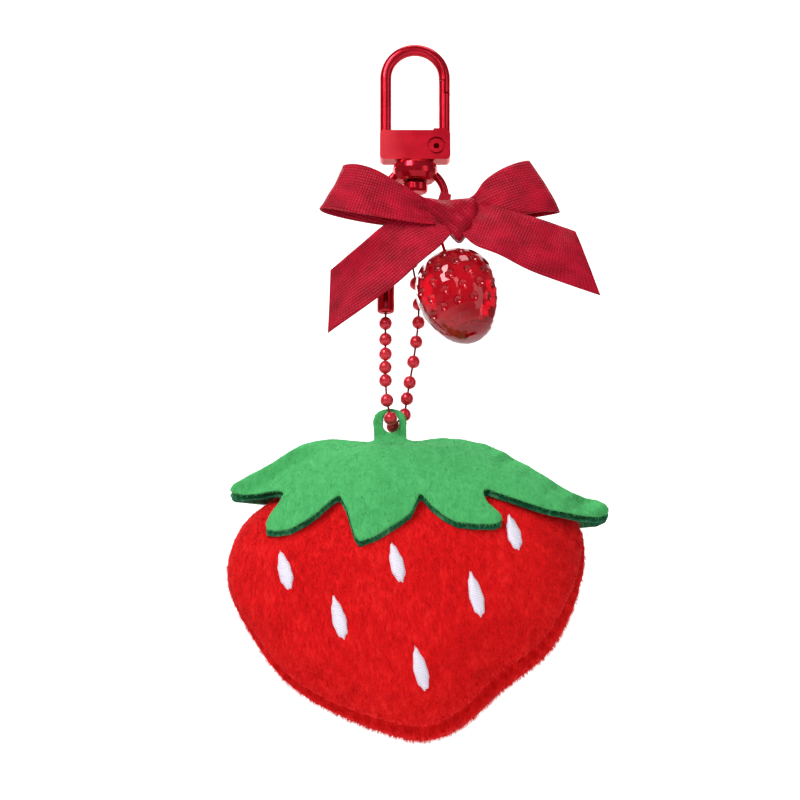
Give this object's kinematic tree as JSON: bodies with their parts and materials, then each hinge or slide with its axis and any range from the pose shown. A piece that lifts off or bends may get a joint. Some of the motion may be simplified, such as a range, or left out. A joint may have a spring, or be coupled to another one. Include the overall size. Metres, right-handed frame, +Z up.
{
  "type": "plush keychain",
  "caption": "Plush strawberry keychain: snap hook on a swivel ring, satin bow, clear berry charm and a ball chain threaded through the plush's leaf tab.",
  "frame": {"origin": "inside of the hook's crown, where it hangs", "axes": "+Z up with the keychain hanging, -Y towards the plush's face, +X to the gate's side"},
  "size_m": [0.0824, 0.0306, 0.1527],
  "materials": {
    "red_metal": "glossy",
    "spring_steel": "satin",
    "satin_ribbon": "satin weave",
    "charm_cap": "glossy",
    "charm_plastic": "clear tinted resin",
    "chain_metal": "glossy",
    "red_plush": "short pile",
    "stuffing": "fibre fill",
    "leaf_plush": "short pile",
    "leaf_backing": "knit backing",
    "seed_thread": "satin stitch embroidery"
  },
  "bodies": {
    "hook": {"hook_frame": "red_metal", "gate_rivet": "red_metal", "gate_spring": "spring_steel", "swivel_pin": "red_metal"},
    "gate": {"gate": "red_metal"},
    "swivel": {"swivel_eye": "red_metal", "bow_wrap": "satin_ribbon", "bow_knot": "satin_ribbon", "bow_loop_left": "satin_ribbon", "bow_loop_right": "satin_ribbon", "bow_tail_left": "satin_ribbon", "bow_tail_right": "satin_ribbon"},
    "charm_link": {"charm_jump_ring": "red_metal"},
    "charm": {"charm_eye_pin": "red_metal", "charm_cap": "charm_cap", "charm_bead": "charm_plastic"},
    "chain_saddle": {"links_saddle": "chain_metal", "chain_bead_01": "chain_metal", "chain_bead_24": "chain_metal"},
    "chain_top": {"chain_clasp": "chain_metal", "links_top": "chain_metal", "chain_bead_02": "chain_metal", "chain_bead_03": "chain_metal", "chain_bead_04": "chain_metal", "chain_bead_05": "chain_metal", "chain_bead_06": "chain_metal", "chain_bead_07": "chain_metal", "chain_bead_18": "chain_metal", "chain_bead_19": "chain_metal", "chain_bead_20": "chain_metal", "chain_bead_21": "chain_metal", "chain_bead_22": "chain_metal", "chain_bead_23": "chain_metal"},
    "chain_mid": {"links_mid": "chain_metal", "chain_bead_08": "chain_metal", "chain_bead_09": "chain_metal", "chain_bead_10": "chain_metal", "chain_bead_16": "chain_metal", "chain_bead_17": "chain_metal"},
    "chain_low": {"links_low": "chain_metal", "chain_bead_11": "chain_metal", "chain_bead_12": "chain_metal", "chain_bead_13": "chain_metal", "chain_bead_14": "chain_metal", "chain_bead_15": "chain_metal"},
    "plush": {"front_panel": "red_plush", "back_panel": "red_plush", "filling": "stuffing", "leaf_front": "leaf_plush", "leaf_back": "leaf_plush", "backing_front": "leaf_backing", "backing_back": "leaf_backing", "seed_1": "seed_thread", "seed_2": "seed_thread", "seed_3": "seed_thread", "seed_4": "seed_thread", "seed_5": "seed_thread", "seed_6": "seed_thread"}
  },
  "joints": [
    {"name": "gate_hinge", "type": "hinge", "parent": "hook", "child": "gate", "pos_m": [0.0046, 0, -0.0209], "axis": [0, -1, 0], "range_deg": [0, 28], "stiffness_Nm_per_rad": 0.02, "springref_deg": -17.19},
    {"name": "swivel_turn", "type": "hinge", "parent": "hook", "child": "swivel", "pos_m": [0, 0, -0.026], "axis": [0, 0, 1], "continuous": true},
    {"name": "charm_ring_swing", "type": "hinge", "parent": "swivel", "child": "charm_link", "pos_m": [0.00418, 0, -0.03668], "axis": [1, 0, 0], "range_deg": [-2, 4]},
    {"name": "charm_swing", "type": "hinge", "parent": "charm_link", "child": "charm", "pos_m": [0.00523, -0.00113, -0.04037], "axis": [0, 1, 0], "range_deg": [-7, 2]},
    {"name": "chain_saddle_rock", "type": "hinge", "parent": "swivel", "child": "chain_saddle", "pos_m": [-0.0024, 0, -0.03774], "axis": [1, 0, 0], "range_deg": [-4, 33]},
    {"name": "chain_sway", "type": "hinge", "parent": "chain_saddle", "child": "chain_top", "pos_m": [-0.0024, 0, -0.0379], "axis": [0, 1, 0], "range_deg": [-4, 12]},
    {"name": "chain_upper_bend", "type": "hinge", "parent": "chain_top", "child": "chain_mid", "pos_m": [-0.003, 0, -0.06483], "axis": [1, 0, 0], "range_deg": [-5, 5]},
    {"name": "chain_lower_bend", "type": "hinge", "parent": "chain_mid", "child": "chain_low", "pos_m": [-0.0038, 0, -0.0738], "axis": [1, 0, 0], "range_deg": [-5, 5]},
    {"name": "plush_swing", "type": "hinge", "parent": "chain_low", "child": "plush", "pos_m": [-0.0051, 0, -0.0814], "axis": [0, 1, 0], "range_deg": [-25, 25]}
  ]
}
